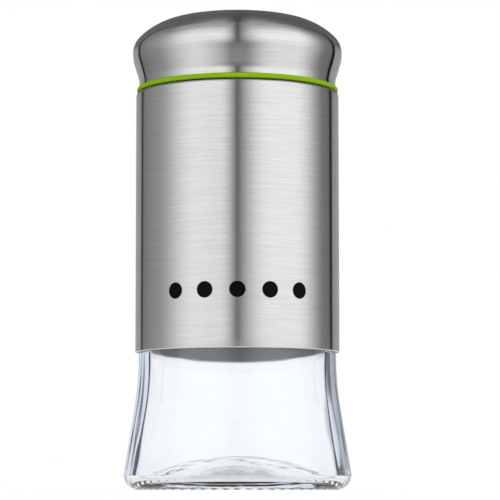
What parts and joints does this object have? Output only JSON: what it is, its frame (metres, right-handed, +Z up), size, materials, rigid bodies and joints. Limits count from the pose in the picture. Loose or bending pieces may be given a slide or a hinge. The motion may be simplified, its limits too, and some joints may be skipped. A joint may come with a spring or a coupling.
{
  "type": "spice container",
  "caption": "Round glass spice shaker with a flared foot, a brushed steel sleeve, a domed steel screw lid with a soft ring, and a turning sifter dial under the lid.",
  "frame": {"origin": "centre of the foot, on the surface that the container stands on", "axes": "+Z up along the jar's axis, -Y towards the front, which the picture shows"},
  "size_m": [0.0578, 0.0578, 0.1219],
  "materials": {
    "clear_glass": "pressed soda-lime glass, clear and glossy",
    "brushed_steel": "stainless steel with fine brush lines around the axis",
    "clear_glue": "clear silicone adhesive",
    "white_plastic": "moulded polypropylene, natural white",
    "dial_plastic": "moulded polypropylene, pale grey",
    "rivet_steel": "bright stainless steel",
    "seal_foam": "soft closed-cell foam washer",
    "lime_silicone": "lime-green silicone, satin"
  },
  "bodies": {
    "jar": {"glass_jar": "clear_glass", "steel_sleeve": "brushed_steel", "sleeve_glue_bands": "clear_glue", "sifter_insert": "white_plastic"},
    "dial": {"selector_dial": "dial_plastic", "dial_rivet": "rivet_steel"},
    "seal": {"lid_seal": "seal_foam"},
    "lid": {"lid_liner": "white_plastic", "accent_ring": "lime_silicone", "lid_shell": "brushed_steel"}
  },
  "joints": [
    {"name": "lid_lift", "type": "slide", "parent": "jar", "child": "seal", "axis": [0, 0, 1], "range_m": [0, 0.018]},
    {"name": "lid_turn", "type": "hinge", "parent": "seal", "child": "lid", "pos_m": [0, 0, 0.1126], "axis": [0, 0, 1], "range_deg": [0, 810.01]},
    {"name": "dial_turn", "type": "hinge", "parent": "jar", "child": "dial", "pos_m": [0, 0, 0.1126], "axis": [0, 0, 1], "range_deg": [-80, 80]}
  ],
  "couplings": [
    {"joint": "lid_turn", "follows": "lid_lift", "rad_per_m": 785.4}
  ]
}
